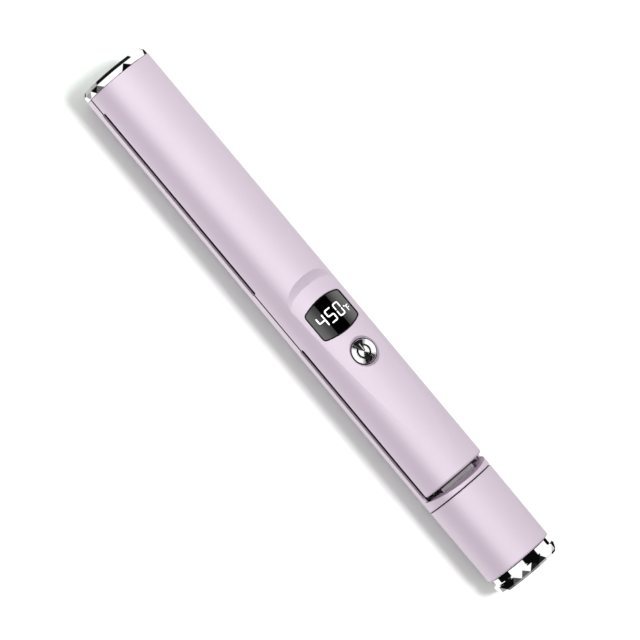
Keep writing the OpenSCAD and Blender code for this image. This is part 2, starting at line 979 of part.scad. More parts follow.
sleeve_lip = 1.6;
sleeve_end_round = 0.8;
module barrel_sleeve() {
    color(pink)
    translate([x_sleeve0, 0, 0])
    turned()
    polygon(concat(
        [[sleeve_bore_r, 0]],
        front_round(body_r, 0, edge_round),
        end_round(body_r - sleeve_taper, sleeve_l, sleeve_end_round),
        [
            [neck_r + neck_gap, sleeve_l],
            [neck_r + neck_gap, sleeve_l - sleeve_lip],
            [sleeve_bore_r, sleeve_l - sleeve_lip]
        ]
    ));
}

// Bolt that slides under the tail lip, and its peg in the ring's slot
x_bolt = x_pin + lip_reach + 0.8;
peg_room = 3;
x_peg = x_spigot + spigot_end_t + peg_room + bolt_travel + peg_d / 2;
crank_half = peg_d / 2 + 0.2;
crank_w = 5;
crank_low_z = 1.5 - journal_r;
peg_inset = 0.3;

module lock_bolt() {
    color(steel)
    union() {
        slab(x_bolt, x_peg - crank_half, bolt_z, bolt_top_z, bolt_w);
        slab(x_peg - crank_half, x_peg + crank_half, crank_low_z, bolt_top_z, crank_w);
        translate([x_peg, 0, 0])
        rod_z(peg_inset - neck_r, crank_low_z + cut, peg_d / 2);
    }
}

// Bearing of the lock ring and of the gland, on two posts
gland_flange_t = 2.2;
gland_end_gap = 0.2;
x_journal0 = x_peg + crank_half + 0.8 + gland_flange_t + gland_end_gap;
x_journal1 = x_grip + 0.6;
housing_post_r = 2;
housing_post_gap = 0.1;
module at_housing_posts() {
    for (a = [-45, 45])
        rotate([a, 0, 0])
        translate([0, 0, journal_r - housing_post_r - housing_post_gap])
        children();
}

module swivel_housing() {
    color(dark)
    difference() {
        union() {
            rod_x(x_journal0, x_journal1, journal_r);
            at_housing_posts()
            rod_x(x_spigot + spigot_end_t, x_journal0 + 1, housing_post_r);
        }
        rod_x(x_journal0 - 1, x_journal1 + 1, gland_r + run_gap);
        at_housing_posts()
        rod_x(x_spigot, x_spigot + housing_screw_l + pilot_room, pilot_r);
    }
}

module housing_screws() {
    color(steel)
    at_housing_posts()
    translate([x_spigot, 0, 0])
    rotate([0, 90, 0])
    screw(housing_screw_l);
}

// Chrome ring with its faceted grip, a ridge behind the sleeve's lip, and the helical slot
// that drives the bolt
x_ring = x_peg - bolt_travel - peg_d / 2 - 1.7;
ridge_gap = 0.15;
ridge_l = 1.2;
x_ridge = x_sleeve1 - sleeve_lip - ridge_gap;
groove_w = 0.4;
groove_in = 0.5;
grip_edge = 0.7;
grip_end_l = 1;
grip_band_drop = 1.1;
grip_end_drop = 1.9;
slot_steps = 12;
slot_gap = 0.3;
ring_end_gap = 0.3;
module lock_ring() {
    grip_r = body_r - grip_step;
    band_r = grip_r - grip_band_drop;
    x_band = x_tail - grip_end_l;
    color(chrome)
    difference() {
        union() {
            rod_x(x_ring, x_sleeve1, neck_r);
            rod_x(x_sleeve1 - 1, x_sleeve1 + groove_w + 1, neck_r - groove_in);
            rod_x(x_sleeve1 + groove_w, x_grip + 1, neck_r);
            rod_x(x_ridge - ridge_l, x_ridge, spigot_r - ridge_gap);
            rod_x(x_grip, x_grip + grip_edge + slice, grip_r * cos(180 / facets) - 0.1);
            facet_band(x_grip + grip_edge, grip_r, x_band, band_r, tail_phase);
            hull() {
                prism_x(x_band - slice, x_band)
                polygon(ring_points(band_r, tail_phase + 180 / facets));
                prism_x(x_tail - slice, x_tail)
                polygon(ring_points(grip_r - grip_end_drop, tail_phase + 180 / facets));
            }
        }
        rod_x(x_ring - 1, x_journal1 + ring_end_gap, journal_r + run_gap);
        rod_x(x_journal1, x_tail + 1, gland_r + ring_end_gap);
        for (i = [0:slot_steps])
            translate([x_peg - bolt_travel * i / slot_steps, 0, 0])
            rotate([-lock_turn * i / slot_steps, 0, 0])
            rod_z(-neck_r - 1, 1 - journal_r, peg_d / 2 + slot_gap);
    }
}

// Gland that turns with the cord
gland_shoulder = 0.8;
x_gland_end = x_tail - gland_set;
module cord_gland() {
    x1 = x_journal0 - gland_end_gap;
    x0 = x1 - gland_flange_t;
    s = gland_shoulder;
    color(dark)
    turned()
    polygon([
        [cord_bore_d / 2, x0],
        [gland_r + s, x0],
        [gland_r + s, x1],
        [gland_r, x1],
        [gland_r, x_gland_end - s],
        [gland_r - s, x_gland_end],
        [cord_bore_d / 2, x_gland_end]
    ]);
}

// Window, its module, the board and the button
module display_lens() {
    color("#101013")
    intersection() {
        translate([x_display, 0, 0])
        prism_z(top_z / 2, top_z + 2)
        window_2d(0);
        difference() {
            scoop_rod(lens_sink, lens_r);
            scoop_rod(lens_sink + lens_t, lens_r - lens_t);
        }
    }
}

board_in = 10;
board_short = 13.2;
board_x0 = x_plate1 + board_in;
board_x1 = upper_cover_end - board_short;
board_screw_set = 3;
board_post_r = 2.2;

module at_board_screws() {
    e = board_screw_set;
    for (x = [board_x0 + e, board_x1 - e], y = [e - board_w / 2, board_w / 2 - e])
        translate([x, y, 0])
        children();
}

module board_posts() {
    intersection() {
        at_board_screws()
        rod_z(board_top_z, far, board_post_r);
        translate([0, 0, upper_lift])
        rod_x(x_plate1, x_arm, body_r - wall / 2);
    }
}

// Board with its two capacitors and its chip
capacitor_r = 3;
capacitor_back = 22;
capacitor_x = x_button + capacitor_back;
capacitor_y = 5;
capacitor_drop = 2;
capacitor_top_z = roof_z - capacitor_drop;
chip_back = 12;
chip_x = x_button + chip_back;
chip_l = 6;
chip_w = 9;
chip_t = 1.4;
module control_board() {
    color("darkgreen")
    difference() {
        union() {
            slab(board_x0, board_x1, board_z, board_top_z, board_w);
            for (y = [-capacitor_y, capacitor_y])
                translate([capacitor_x, y, 0])
                rod_z(board_z, capacitor_top_z, capacitor_r);
            slab(chip_x - chip_l / 2, chip_x + chip_l / 2, board_z, board_top_z + chip_t, chip_w);
        }
        at_board_screws()
        rod_z(0, far, screw_r + screw_gap);
    }
}

module board_screws() {
    color(steel)
    at_board_screws()
    translate([0, 0, board_z])
    screw(board_screw_l);
}

module_l = 12;
module_w = 16;
module_gap = 0.3;
module display_module() {
    x0 = x_display - module_l / 2;
    color("#2b2b30")
    slab(x0, x0 + module_l, board_top_z, lens_under_z(x0, module_w / 2) - module_gap, module_w);
}

switch_w = 6;
plunger_r = 1.7;
module button_switch() {
    color(dark)
    translate([x_button, 0, 0]) {
        slab(-switch_w / 2, switch_w / 2, board_top_z, switch_top_z, switch_w);
        rod_z(board_top_z, switch_top_z + plunger_h, plunger_r);
    }
}

stem_r = 2;
button_edge = 0.35;
module power_button() {
    flange_z = boss_z - flange_gap;
    color(chrome)
    translate([x_button, 0, 0])
    rotate_extrude()
    polygon([
        [0, stem_z],
        [stem_r, stem_z],
        [stem_r, flange_z - flange_t],
        [flange_r, flange_z - flange_t],
        [flange_r, flange_z],
        [button_r, flange_z],
        [button_r, button_z - button_edge],
        [button_r - button_edge, button_z],
        [0, button_z]
    ]);
}

stood() {
    lower_shell();
    lower_inner_cover();
    lower_plate_tray();
    lower_tip_cap();
    lower_cover_screws();
    lower_plate();
    lower_heater();
    lower_plate_cushions();
    barrel_sleeve();
    hinge_pin();
    opening_spring();
    swivel_housing();
    housing_screws();
    lock_ring();
    lock_bolt();
    cord_gland();
    upper_shell();
    upper_inner_cover();
    upper_plate_tray();
    upper_tip_cap();
    upper_cover_screws();
    upper_plate();
    upper_heater();
    upper_plate_cushions();
    hinge_tongue();
    tongue_screws();
    display_lens();
    display_module();
    control_board();
    board_screws();
    button_switch();
    power_button();
}
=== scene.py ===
import json
import math

import bmesh
import bpy
from mathutils import Matrix, Vector


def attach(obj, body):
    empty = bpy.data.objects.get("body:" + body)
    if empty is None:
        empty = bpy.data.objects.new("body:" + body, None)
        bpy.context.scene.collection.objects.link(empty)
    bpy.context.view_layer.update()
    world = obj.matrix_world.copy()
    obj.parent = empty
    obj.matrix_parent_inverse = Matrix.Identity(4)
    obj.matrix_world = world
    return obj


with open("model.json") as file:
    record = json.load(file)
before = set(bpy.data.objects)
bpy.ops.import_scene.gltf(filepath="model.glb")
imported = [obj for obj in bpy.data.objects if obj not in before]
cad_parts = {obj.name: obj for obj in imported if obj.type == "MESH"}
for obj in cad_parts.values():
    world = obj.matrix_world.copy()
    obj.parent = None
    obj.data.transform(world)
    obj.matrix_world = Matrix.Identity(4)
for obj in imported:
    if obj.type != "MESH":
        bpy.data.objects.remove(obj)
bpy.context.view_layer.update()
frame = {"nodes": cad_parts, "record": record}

scene = bpy.context.scene
scene.view_settings.view_transform = "Standard"
MM = 0.001

# Camera

TILT = math.radians(22.3)
ROLL = math.radians(50.1)
DISTANCE = 2.0
TARGET = Vector((-0.0008, 0.0004, 0.0178))

camera_data = bpy.data.cameras.new("camera")
camera_data.lens = 244.2
camera_data.sensor_width = 36
camera_data.clip_end = 20
camera = bpy.data.objects.new("camera", camera_data)
scene.collection.objects.link(camera)
scene.camera = camera

back = Vector((0, -math.sin(TILT), math.cos(TILT)))
along = Vector((1, 0, 0))
across = Vector((0, -math.cos(TILT), -math.sin(TILT)))
right = along * math.cos(ROLL) - across * math.sin(ROLL)
up = -along * math.sin(ROLL) - across * math.cos(ROLL)
turn = Matrix((right, up, back)).transposed().to_4x4()
camera.matrix_world = Matrix.Translation(TARGET + back * DISTANCE) @ turn

# Node helpers


def add(tree, kind, **settings):
    node = tree.nodes.new(kind)
    for key, value in settings.items():
        setattr(node, key, value)
    return node


def link(tree, source, target):
    tree.links.new(source, target)


def calc(tree, operation, *values):
    node = add(tree, "ShaderNodeMath", operation=operation)
    for socket, value in zip(node.inputs, values):
        if isinstance(value, (int, float)):
            socket.default_value = value
        else:
            link(tree, value, socket)
    return node.outputs[0]


def turn_part(degrees):
    """An angle from -180 to 180 degrees as a place from 0 to 1."""
    return 0.5 + degrees / 360


def ramp(tree, source, stops, interpolation="LINEAR"):
    node = add(tree, "ShaderNodeValToRGB")
    band = node.color_ramp
    band.interpolation = interpolation
    while len(band.elements) < len(stops):
        band.elements.new(0.5)
    for element, (place, value) in zip(band.elements, stops):
        element.position = place
        element.color = (value, value, value, 1)
    link(tree, source, node.inputs[0])
    return node.outputs[0]


def noise(tree, size, detail=2.0, stretch=(1, 1, 1)):
    """Noise whose grains are about size metres across."""
    place = add(tree, "ShaderNodeTexCoord")
    scale = add(tree, "ShaderNodeMapping")
    scale.inputs["Scale"].default_value = stretch
    link(tree, place.outputs["Object"], scale.inputs["Vector"])
    node = add(tree, "ShaderNodeTexNoise")
    node.inputs["Scale"].default_value = 1 / size
    node.inputs["Detail"].default_value = detail
    link(tree, scale.outputs[0], node.inputs["Vector"])
    return node.outputs["Fac"]


def spread(tree, source, low, high):
    """The source's middle range spread over low to high."""
    node = add(tree, "ShaderNodeMapRange")
    node.inputs["From Min"].default_value = 0.3
    node.inputs["From Max"].default_value = 0.7
    node.inputs["To Min"].default_value = low
    node.inputs["To Max"].default_value = high
    link(tree, source, node.inputs["Value"])
    return node.outputs[0]


def tint(tree, colour, factor):
    """The colour times a factor that varies over the surface."""
    node = add(tree, "ShaderNodeVectorMath", operation="SCALE")
    node.inputs[0].default_value = colour
    link(tree, factor, node.inputs["Scale"])
    return node.outputs[0]


def bump(tree, shader, height, depth, strength=1.0):
    node = add(tree, "ShaderNodeBump")
    node.inputs["Strength"].default_value = strength
    node.inputs["Distance"].default_value = depth
    link(tree, height, node.inputs["Height"])
    link(tree, node.outputs[0], shader.inputs["Normal"])


def material(name, colour, roughness, metallic=0.0, ior=1.5):
    made = bpy.data.materials.new(name)
    made.use_nodes = True
    shader = made.node_tree.nodes["Principled BSDF"]
    shader.inputs["Base Color"].default_value = (*colour, 1)
    shader.inputs["Roughness"].default_value = roughness
    shader.inputs["Metallic"].default_value = metallic
    shader.inputs["IOR"].default_value = ior
    return made, made.node_tree, shader


def vary_colour(tree, shader, colour, grain, low, high, **noise_settings):
    factor = spread(tree, noise(tree, grain, **noise_settings), low, high)
    link(tree, tint(tree, colour, factor), shader.inputs["Base Color"])


def vary_roughness(tree, shader, grain, low, high, **noise_settings):
    factor = spread(tree, noise(tree, grain, **noise_settings), low, high)
    link(tree, factor, shader.inputs["Roughness"])


# World, floor and light

# Angles run about the object's length, in degrees from straight up towards the near side.
# A lean is the part of a direction that points along the object, towards the tail.

SOFT_BOX = [
    (-180, 0.3), (-168, 0.1), (-150, 0.1), (-130, 0.24), (-107, 0.3), (-97, 0.37), (-81, 0.45), (-62, 0.54),
    (-40, 0.66), (-20, 0.77), (0, 0.93), (16, 1), (33, 1), (42, 0.96), (51, 0.83), (61, 0.6), (70, 0.4),
    (80, 0.27), (90, 0.24), (110, 0.28), (130, 0.39), (160, 0.42), (180, 0.25),
]
SOFT_BOX_BY_LEAN = [
    (-1, 0.3), (-0.6, 0.5), (-0.3, 1.25), (-0.05, 1.32), (-0.02, 1.27), (0.06, 1), (0.3, 0.6), (0.6, 0.3),
    (1, 0.2),
]
SOFT_BOX_LEVEL = 3.28
ROOM_LEVEL = 0.8
WHITE = 1.15
BLACK = 0.003
BRIGHTEST = 1.5

# Each zone starts at a lean and holds levels, each from an angle on.
MIRRORED_ZONES = [
    (-1, [(-180, 0.01)]),
    (-0.77, [(-180, 0.4), (-121, WHITE), (-80, BLACK), (16, WHITE), (70, 0.35), (135, 0.45),
             (165, WHITE)]),
    (-0.53, [(-180, 0.6), (-172, BLACK), (-158, WHITE), (95, BLACK), (135, 0.4), (160, 0.6)]),
    (-0.15, [(-180, WHITE), (-156, BLACK), (-112, WHITE), (-41, BLACK), (10, WHITE), (84, 0.15), (98, BLACK),
             (116, WHITE)]),
    (0.03, [(-180, WHITE), (-158, BLACK), (-108, WHITE), (-41, BLACK), (15.5, WHITE), (79.5, BLACK),
            (136.5, WHITE)]),
    (0.3, [(-180, WHITE), (-158, BLACK), (-125, 0.7), (-108, WHITE), (-41, BLACK), (15.5, WHITE),
           (79.5, BLACK), (140, 0.42), (163, WHITE)]),
    (0.53, [(-180, WHITE), (-158, BLACK), (-145, 0.38), (-108, WHITE), (-80, BLACK), (15.5, WHITE),
            (79.5, BLACK), (140, WHITE)]),
    (0.65, [(-180, 0.15), (-150, 0.95), (-65, 0.016), (17, 0.115), (65, 0.092), (110, 0.15)]),
    (0.85, [(-180, 0.5), (-60, 0.25), (20, 0.4), (100, 0.3)]),
]

# What the window mirrors, between its two leans, fades away from the black strip.
WINDOW_LEANS = (-0.035, 0.03)
WINDOW_ROOM = [
    (-180, WHITE), (-156, WHITE), (-155, BLACK), (-108, BLACK), (-107, 1.17), (-81, 1.17), (-72, 1.14),
    (-64, 1), (-57, 0.77), (-49, 0.53), (-41.5, 0.39), (-40.5, BLACK), (5.5, BLACK), (6.5, 0.42),
    (12, 0.47), (18, 0.58), (24, 0.79), (29, 0.98), (35, 1.17), (42, 1.3), (48, 1.43), (79, 1.43),
    (80, BLACK), (135, BLACK), (136, WHITE), (180, WHITE),
]

world = bpy.data.worlds.new("studio")
scene.world = world
world.use_nodes = True
world.cycles.sampling_method = "NONE"
tree = world.node_tree
tree.nodes.clear()
place = add(tree, "ShaderNodeTexCoord")
parts = add(tree, "ShaderNodeSeparateXYZ")
link(tree, place.outputs["Generated"], parts.inputs[0])
lean = parts.outputs["X"]
angle = calc(tree, "ARCTAN2", calc(tree, "MULTIPLY", parts.outputs["Y"], -1), parts.outputs["Z"])
turned = calc(tree, "ADD", calc(tree, "DIVIDE", angle, 2 * math.pi), 0.5)
path = add(tree, "ShaderNodeLightPath")


def levels(tree, source, stops, top):
    """A level between 0 and top from stops of (place, level)."""
    return calc(tree, "MULTIPLY", ramp(tree, source, [(p, v / top) for p, v in stops]), top)


def in_steps(table, blur=0.5):
    """Stops that step from level to level, each step as wide as twice the blur, in degrees."""
    stops = [(0, table[0][1])]
    for (_, level), (start, following) in zip(table, table[1:]):
        stops += [(turn_part(start - blur), level), (turn_part(start + blur), following)]
    return stops + [(1, table[-1][1])]


def between(tree, test, otherwise, when):
    node = add(tree, "ShaderNodeMix")
    link(tree, test, node.inputs[0])
    link(tree, otherwise, node.inputs[2])
    link(tree, when, node.inputs[3])
    return node.outputs[0]


def mirrored_level(tree):
    level = None
    for start, table in MIRRORED_ZONES:
        zone = levels(tree, turned, in_steps(table), BRIGHTEST)
        level = zone if level is None else between(tree, calc(tree, "GREATER_THAN", lean, start), level, zone)
    after = calc(tree, "GREATER_THAN", lean, WINDOW_LEANS[0])
    before = calc(tree, "LESS_THAN", lean, WINDOW_LEANS[1])
    window = levels(tree, turned, [(turn_part(d), v) for d, v in WINDOW_ROOM], BRIGHTEST)
    return between(tree, calc(tree, "MULTIPLY", after, before), level, window)


def backdrop(strength):
    node = add(tree, "ShaderNodeBackground")
    node.inputs["Color"].default_value = (1, 1, 1, 1)
    if isinstance(strength, (int, float)):
        node.inputs["Strength"].default_value = strength
    else:
        link(tree, strength, node.inputs["Strength"])
    return node.outputs[0]


def choose(tree, test, otherwise, when):
    node = add(tree, "ShaderNodeMixShader")
    link(tree, test, node.inputs[0])
    link(tree, otherwise, node.inputs[1])
    link(tree, when, node.inputs[2])
    return node.outputs[0]


round_level = levels(tree, turned, [(turn_part(d), v) for d, v in SOFT_BOX], 1)
lean_part = calc(tree, "MULTIPLY_ADD", lean, 0.5, 0.5)
lean_level = levels(tree, lean_part, [((x + 1) / 2, v) for x, v in SOFT_BOX_BY_LEAN], BRIGHTEST)
soft_level = calc(tree, "MULTIPLY", calc(tree, "MULTIPLY", round_level, lean_level), SOFT_BOX_LEVEL)
mixed = choose(tree, path.outputs["Is Camera Ray"], backdrop(ROOM_LEVEL), backdrop(1.0))
mixed = choose(tree, path.outputs["Is Glossy Ray"], mixed, backdrop(soft_level))
mixed = choose(tree, path.outputs["Is Singular Ray"], mixed, backdrop(mirrored_level(tree)))
out = add(tree, "ShaderNodeOutputWorld")
link(tree, mixed, out.inputs["Surface"])

FLOOR_SIZE = 8
FLOOR_SEEN = (0.835, 0.865, 0.835)
FLOOR_LIT = (0.6, 0.6, 0.6)
SHADOW_FROM = (0.24, 0.145, 1)

bpy.ops.mesh.primitive_plane_add(size=FLOOR_SIZE, location=(0, 0, 0))
floor = bpy.context.object
floor.name = "floor"
paper = bpy.data.materials.new("floor_paper")
paper.use_nodes = True
tree = paper.node_tree
tree.nodes.clear()
path = add(tree, "ShaderNodeLightPath")


def paper_of(colour):
    node = add(tree, "ShaderNodeBsdfDiffuse")
    node.inputs["Color"].default_value = (*colour, 1)
    return node.outputs[0]


clear = add(tree, "ShaderNodeBsdfTransparent")
out = add(tree, "ShaderNodeOutputMaterial")
shown = choose(tree, path.outputs["Is Camera Ray"], paper_of(FLOOR_LIT), paper_of(FLOOR_SEEN))
shown = choose(tree, path.outputs["Is Glossy Ray"], shown, clear.outputs[0])
link(tree, shown, out.inputs["Surface"])
floor.data.materials.append(paper)

lamp_data = bpy.data.lights.new("shadow_lamp", "SUN")
lamp_data.energy = 2.0
lamp_data.angle = math.radians(14)
lamp = bpy.data.objects.new("shadow_lamp", lamp_data)
scene.collection.objects.link(lamp)
lamp.rotation_euler = Vector(SHADOW_FROM).to_track_quat("Z", "Y").to_euler()
lit = bpy.data.collections.new("lit_by_shadow_lamp")
lit.objects.link(floor)
lamp.light_linking.receiver_collection = lit

# Materials

PINK = (0.655, 0.525, 0.65)
# Black of the dark mouldings, and also the colour of painted shade in seams and gaps.
BLACK_PLASTIC_AND_SHADE = (0.009, 0.0085, 0.0095)
GREY_PLASTIC = (0.85, 0.81, 0.84)
STEEL = (0.55, 0.55, 0.56)
CHROME = (0.9, 0.9, 0.905)
CHROME_SHADE = (0.03, 0.026, 0.03)
AXIS_Z = 17.8 * MM

# Places of painted shade, dark lines painted where shade falls in seams, gaps and grooves, in millimetres:
# along the body, as heights, or as distances from its axis
SLEEVE_INSIDE_X = 99.5
SLEEVE_INSIDE_R = 16.8
SEAM_X = (99.6, 100.7)
SEAM_R = 17.66
LANDS_X = ((-146, -136.3), (-29.2, 5.0))
LAND_R = 17.86
LAND_Z = (19.55, 21.5)
LIP_R = 18.15
LIP_Z = (20.5, 21.0)
TONGUE_ROOT_X = 94.5
TONGUE_SIDE_Y = 9.95
TONGUE_LINE_X = (96.2, 96.6)
NECK_LINE_X = (141.9, 142.6)
CAP_LINE_X = (-145.62, -145.3)

BUTTON_X = 23.0 * MM
GROOVE_PITCH = 0.16 * MM
GROOVE_TILT = math.radians(28)
WAVE_PITCH = 0.7 * MM
WAVE_TILT = 0.09


def place_of(tree):
    """Place along the body, across it, up, and distance from its axis, in metres."""
    place = add(tree, "ShaderNodeTexCoord")
    parts = add(tree, "ShaderNodeSeparateXYZ")
    link(tree, place.outputs["Object"], parts.inputs[0])
    x, y, z = (parts.outputs[i] for i in range(3))
    depth = calc(tree, "SUBTRACT", z, AXIS_Z)
    square = calc(tree, "ADD", calc(tree, "MULTIPLY", y, y), calc(tree, "MULTIPLY", depth, depth))
    return x, y, z, calc(tree, "SQRT", square)


def within(tree, *limits):
    """1 where each value lies between its two limits, in millimetres, else 0."""
    made = None
    for value, low, high in limits:
        tests = []
        if low is not None:
            tests.append(calc(tree, "GREATER_THAN", value, low * MM))
        if high is not None:
            tests.append(calc(tree, "LESS_THAN", value, high * MM))
        for test in tests:
            made = test if made is None else calc(tree, "MULTIPLY", made, test)
    return made


def paint_over(tree, shader, mask, paint, shade_colour):
    """Base colour of the paint, or the colour of painted shade where the mask is 1."""
    node = add(tree, "ShaderNodeMix", data_type="RGBA")
    link(tree, mask, node.inputs[0])
    link(tree, paint, node.inputs[6])
    node.inputs[7].default_value = (*shade_colour, 1)
    link(tree, node.outputs[2], shader.inputs["Base Color"])


def pink_shell():
    """Satin pearl paint, with painted shade in the seams: near-black and metallic there, so that they don't
    shine.
    """
    made, tree, shader = material("pink_pearl", PINK, 0.3, ior=2.0)
    flakes = spread(tree, noise(tree, 0.0005, detail=1.0), 0.985, 1.015)
    cloud = spread(tree, noise(tree, 0.05, detail=1.0), 0.985, 1.015)
    paint = tint(tree, PINK, calc(tree, "MULTIPLY", flakes, cloud))
    x, _, z, radius = place_of(tree)
    # Painted shade: inside the sleeve, on the seam's walls, and on the lands and lips by the parting line,
    # reaching a little onto the outer skin.
    inside_sleeve = within(tree, (x, SLEEVE_INSIDE_X, None), (radius, None, SLEEVE_INSIDE_R))
    seam_walls = within(tree, (x, *SEAM_X), (radius, None, SEAM_R))
    painted_seam_shade = calc(tree, "MAXIMUM", inside_sleeve, seam_walls)
    for ends in LANDS_X:
        land = within(tree, (x, *ends), (radius, None, LAND_R), (z, *LAND_Z))
        lip = within(tree, (x, *ends), (radius, None, LIP_R), (z, *LIP_Z))
        painted_seam_shade = calc(tree, "MAXIMUM", painted_seam_shade, calc(tree, "MAXIMUM", land, lip))
    paint_over(tree, shader, painted_seam_shade, paint, BLACK_PLASTIC_AND_SHADE)
    link(tree, painted_seam_shade, shader.inputs["Metallic"])
    vary_roughness(tree, shader, 0.02, 0.29, 0.31)
    return made


def moulded(name, colour, rough_low, rough_high, ior=1.3):
    made, tree, shader = material(name, colour, (rough_low + rough_high) / 2, ior=ior)
    vary_colour(tree, shader, colour, 0.004, 0.9, 1.1)
    vary_roughness(tree, shader, 0.0015, rough_low, rough_high)
    bump(tree, shader, noise(tree, 0.0003, detail=3.0), 0.00003, 0.5)
    return made


def grey_moulding():
    """Grey tongue, with painted shade at its root and sides and a fine line of painted shade across its
    front.
    """
    made, tree, shader = material("grey_moulding", GREY_PLASTIC, 0.5)
    grain = spread(tree, noise(tree, 0.004), 0.94, 1.06)
    x, y, _, _ = place_of(tree)
    fine_shade_line = calc(tree, "MULTIPLY_ADD", within(tree, (x, *TONGUE_LINE_X)), -0.35, 1.0)
    paint = tint(tree, GREY_PLASTIC, calc(tree, "MULTIPLY", grain, fine_shade_line))
    # Painted shade at the root, ahead of the arm's end, and along both sides.
    root = within(tree, (x, None, TONGUE_ROOT_X))
    sides = within(tree, (calc(tree, "ABSOLUTE", y), TONGUE_SIDE_Y, None))
    tongue_painted_shade = calc(tree, "MAXIMUM", root, sides)
    paint_over(tree, shader, tongue_painted_shade, paint, BLACK_PLASTIC_AND_SHADE)
    vary_roughness(tree, shader, 0.0015, 0.45, 0.6)
    bump(tree, shader, noise(tree, 0.0003, detail=3.0), 0.00003, 0.5)
    return made


def chrome():
    """Mirror plating, with painted shade in the neck's groove and along the edge of the tip caps."""
    made, tree, shader = material("chrome_plate", (0.9, 0.9, 0.9), 0.0, metallic=1.0)
    cloud = spread(tree, noise(tree, 0.003), 0.97, 1.03)
    x = place_of(tree)[0]
    # Dark lines of painted shade at the neck's groove and along the caps' edge.
    painted_shade_lines = calc(tree, "MAXIMUM", within(tree, (x, *NECK_LINE_X)), within(tree, (x, *CAP_LINE_X)))
    paint_over(tree, shader, painted_shade_lines, tint(tree, CHROME, cloud), CHROME_SHADE)
    bump(tree, shader, noise(tree, 0.004, detail=0.0), 0.00001, 0.1)
    return made


def turned_metal():
    """Mirror metal whose flat face carries fine turned grooves with straight sides."""
    made, tree, shader = material("turned_metal", (0.88, 0.88, 0.88), 0.0, metallic=1.0)
    place = add(tree, "ShaderNodeTexCoord")
    centre = add(tree, "ShaderNodeVectorMath", operation="SUBTRACT")
    centre.inputs[1].default_value = (BUTTON_X, 0, 0)
    link(tree, place.outputs["Object"], centre.inputs[0])
    flat = add(tree, "ShaderNodeVectorMath", operation="MULTIPLY")
    flat.inputs[1].default_value = (1, 1, 0)
    link(tree, centre.outputs[0], flat.inputs[0])
    radius = add(tree, "ShaderNodeVectorMath", operation="LENGTH")
    link(tree, flat.outputs[0], radius.inputs[0])
    outward = add(tree, "ShaderNodeVectorMath", operation="NORMALIZE")
    link(tree, flat.outputs[0], outward.inputs[0])
    distance = radius.outputs["Value"]
    grooves = calc(tree, "FRACT", calc(tree, "DIVIDE", distance, GROOVE_PITCH))
    side = calc(tree, "MULTIPLY_ADD", calc(tree, "GREATER_THAN", grooves, 0.5), 2.0, -1.0)
    leaning = add(tree, "ShaderNodeVectorMath", operation="SCALE")
    link(tree, outward.outputs[0], leaning.inputs[0])
    wave = calc(tree, "SINE", calc(tree, "MULTIPLY", distance, 2 * math.pi / WAVE_PITCH))
    steep = calc(tree, "MULTIPLY_ADD", wave, WAVE_TILT, math.tan(GROOVE_TILT))
    link(tree, calc(tree, "MULTIPLY", side, steep), leaning.inputs["Scale"])
    raised = add(tree, "ShaderNodeVectorMath", operation="ADD")
    raised.inputs[1].default_value = (0, 0, 1)
    link(tree, leaning.outputs[0], raised.inputs[0])
    unit = add(tree, "ShaderNodeVectorMath", operation="NORMALIZE")
    link(tree, raised.outputs[0], unit.inputs[0])
    parts = add(tree, "ShaderNodeSeparateXYZ")
    link(tree, place.outputs["Normal"], parts.inputs[0])
    node = add(tree, "ShaderNodeMix", data_type="VECTOR")
    link(tree, calc(tree, "GREATER_THAN", parts.outputs["Z"], 0.95), node.inputs[0])
    link(tree, place.outputs["Normal"], node.inputs[4])
    link(tree, unit.outputs[0], node.inputs[5])
    in_world = add(tree, "ShaderNodeVectorTransform", vector_type="NORMAL")
    in_world.convert_from, in_world.convert_to = "OBJECT", "WORLD"
    link(tree, node.outputs[1], in_world.inputs[0])
    link(tree, in_world.outputs[0], shader.inputs["Normal"])
    return made


def brushed_steel():
    made, tree, shader = material("plain_steel", STEEL, 0.32, metallic=1.0)
    vary_colour(tree, shader, STEEL, 0.002, 0.85, 1.1)
    vary_roughness(tree, shader, 0.0006, 0.25, 0.42, stretch=(1, 1, 4))
    return made


def plate_coating():
    colour = (0.10, 0.093, 0.098)
    made, tree, shader = material("plate_ceramic", colour, 0.2, metallic=0.55)
    vary_colour(tree, shader, colour, 0.00025, 0.8, 1.25)
    vary_roughness(tree, shader, 0.003, 0.16, 0.26)
    return made


def plain_ceramic():
    colour = (0.8, 0.79, 0.76)
    made, tree, shader = material("heater_ceramic", colour, 0.7)
    vary_colour(tree, shader, colour, 0.0008, 0.94, 1.04)
    bump(tree, shader, noise(tree, 0.0002, detail=3.0), 0.00002, 0.6)
    return made


def silicone():
    colour = (0.55, 0.12, 0.05)
    made, tree, shader = material("silicone_pad", colour, 0.5)
    shader.inputs["Subsurface Weight"].default_value = 0.1
    shader.inputs["Subsurface Radius"].default_value = (0.001, 0.0004, 0.0002)
    vary_colour(tree, shader, colour, 0.0015, 0.92, 1.06)
    vary_roughness(tree, shader, 0.001, 0.42, 0.58)
    return made


def gloss_black():
    colour = (0.0008, 0.0008, 0.0009)
    made, tree, shader = material("display_window", colour, 0.0, ior=2.0)
    vary_colour(tree, shader, colour, 0.004, 0.8, 1.2)
    return made


def solder_mask():
    colour = (0.02, 0.11, 0.04)
    made, tree, shader = material("board_mask", colour, 0.35)
    steps = [(0.0, 0.53), (0.49, 0.53), (0.5, 1), (0.53, 1), (0.54, 0.6)]
    tracks = calc(tree, "MULTIPLY", ramp(tree, noise(tree, 0.0022, detail=0.0), steps, "CONSTANT"), 1.5)
    link(tree, tint(tree, colour, tracks), shader.inputs["Base Color"])
    return made


